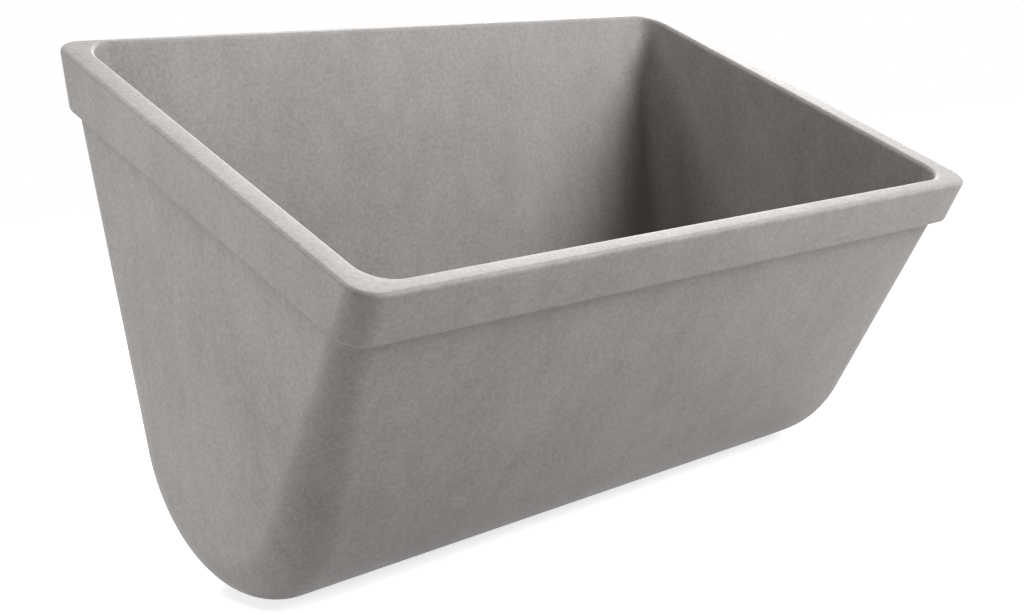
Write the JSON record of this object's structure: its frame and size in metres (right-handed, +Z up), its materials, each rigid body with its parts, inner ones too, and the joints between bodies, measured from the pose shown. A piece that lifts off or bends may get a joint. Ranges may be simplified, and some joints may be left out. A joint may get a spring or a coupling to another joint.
{
  "type": "conveyor elevator bucket",
  "caption": "Cast elevator bucket with a flat belt face, round bottom, sloping front, drafted ends and a thick lip band.",
  "frame": {"origin": "middle of the flat part of the belt face, at the back of the bucket", "axes": "+X along the bucket, +Y out of the belt face towards the belt, +Z up with the back vertical"},
  "size_m": [0.4, 0.2061, 0.2526],
  "materials": {
    "casting": "as cast and shot-blasted, satin grey"
  },
  "bodies": {
    "root": {"bucket": "casting"}
  },
  "joints": []
}
